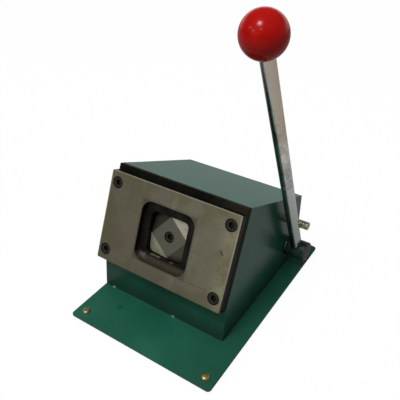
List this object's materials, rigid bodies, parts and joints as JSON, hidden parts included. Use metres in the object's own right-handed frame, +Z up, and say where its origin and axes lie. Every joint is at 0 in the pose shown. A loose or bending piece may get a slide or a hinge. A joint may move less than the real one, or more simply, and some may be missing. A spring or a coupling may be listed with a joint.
{
  "type": "badge cutter",
  "caption": "Bench-top hand-lever cutter with a square cutting opening behind a wider window in its die plate, a faceted punch, a welded wedge housing and a ball-ended lever.",
  "frame": {"origin": "on the surface the feet stand on, under the middle of the whole outline", "axes": "+X to the lever side, +Y to the rear, away from the die, +Z up"},
  "size_m": [0.174, 0.23, 0.3049],
  "materials": {
    "green_enamel": "gloss",
    "black_oxide": "satin",
    "ground_steel": "ground",
    "bright_steel": "turned",
    "chrome": "polished",
    "bronze": "turned",
    "brass": "satin",
    "red_plastic": "polished",
    "rubber": "matt",
    "spring_steel": "drawn"
  },
  "bodies": {
    "housing": {"base_plate": "green_enamel", "rubber_foot_1": "rubber", "rubber_foot_2": "rubber", "rubber_foot_3": "rubber", "rubber_foot_4": "rubber", "foot_screw_1": "brass", "foot_screw_2": "brass", "foot_screw_3": "brass", "foot_screw_4": "brass", "left_side_plate": "green_enamel", "right_side_plate": "green_enamel", "front_apron": "green_enamel", "top_plate": "green_enamel", "rear_plate": "green_enamel", "bolster_plate": "green_enamel", "guide_plate": "black_oxide", "left_slot_strip": "black_oxide", "right_slot_strip": "black_oxide", "die_plate": "ground_steel", "die_screw_1": "black_oxide", "die_screw_2": "black_oxide", "die_screw_3": "black_oxide", "die_screw_4": "black_oxide", "ram_guide_bar": "bright_steel", "ram_bush": "bronze", "left_bush": "bronze", "right_bush": "bronze", "stop_pin": "brass", "return_spring": "spring_steel"},
    "punch_ram": {"ram": "bright_steel", "ram_pad": "bright_steel", "punch": "ground_steel", "punch_screw": "black_oxide"},
    "lever": {"main_shaft": "bright_steel", "cam": "bright_steel", "cam_key": "bright_steel", "shaft_collar_1": "bright_steel", "shaft_collar_2": "bright_steel", "collar_screw_1": "black_oxide", "collar_screw_2": "black_oxide", "lever_hub": "green_enamel", "hub_screw": "black_oxide", "lever_rod": "chrome", "ball_knob": "red_plastic"}
  },
  "joints": [
    {"name": "lever_swing", "type": "hinge", "parent": "housing", "child": "lever", "pos_m": [-0.014, 0.07408, 0.0291], "axis": [1, 0, 0], "range_deg": [0, 60]},
    {"name": "ram_slide", "type": "slide", "parent": "housing", "child": "punch_ram", "axis": [0, -0.9107, 0.4131], "range_m": [0, 0.01], "stiffness_N_per_m": 2250, "springref_m": -0.025, "deforming": ["return_spring"]}
  ],
  "couplings": [
    {"joint": "ram_slide", "follows": "lever_swing", "m_per_rad": 0.0095493}
  ]
}
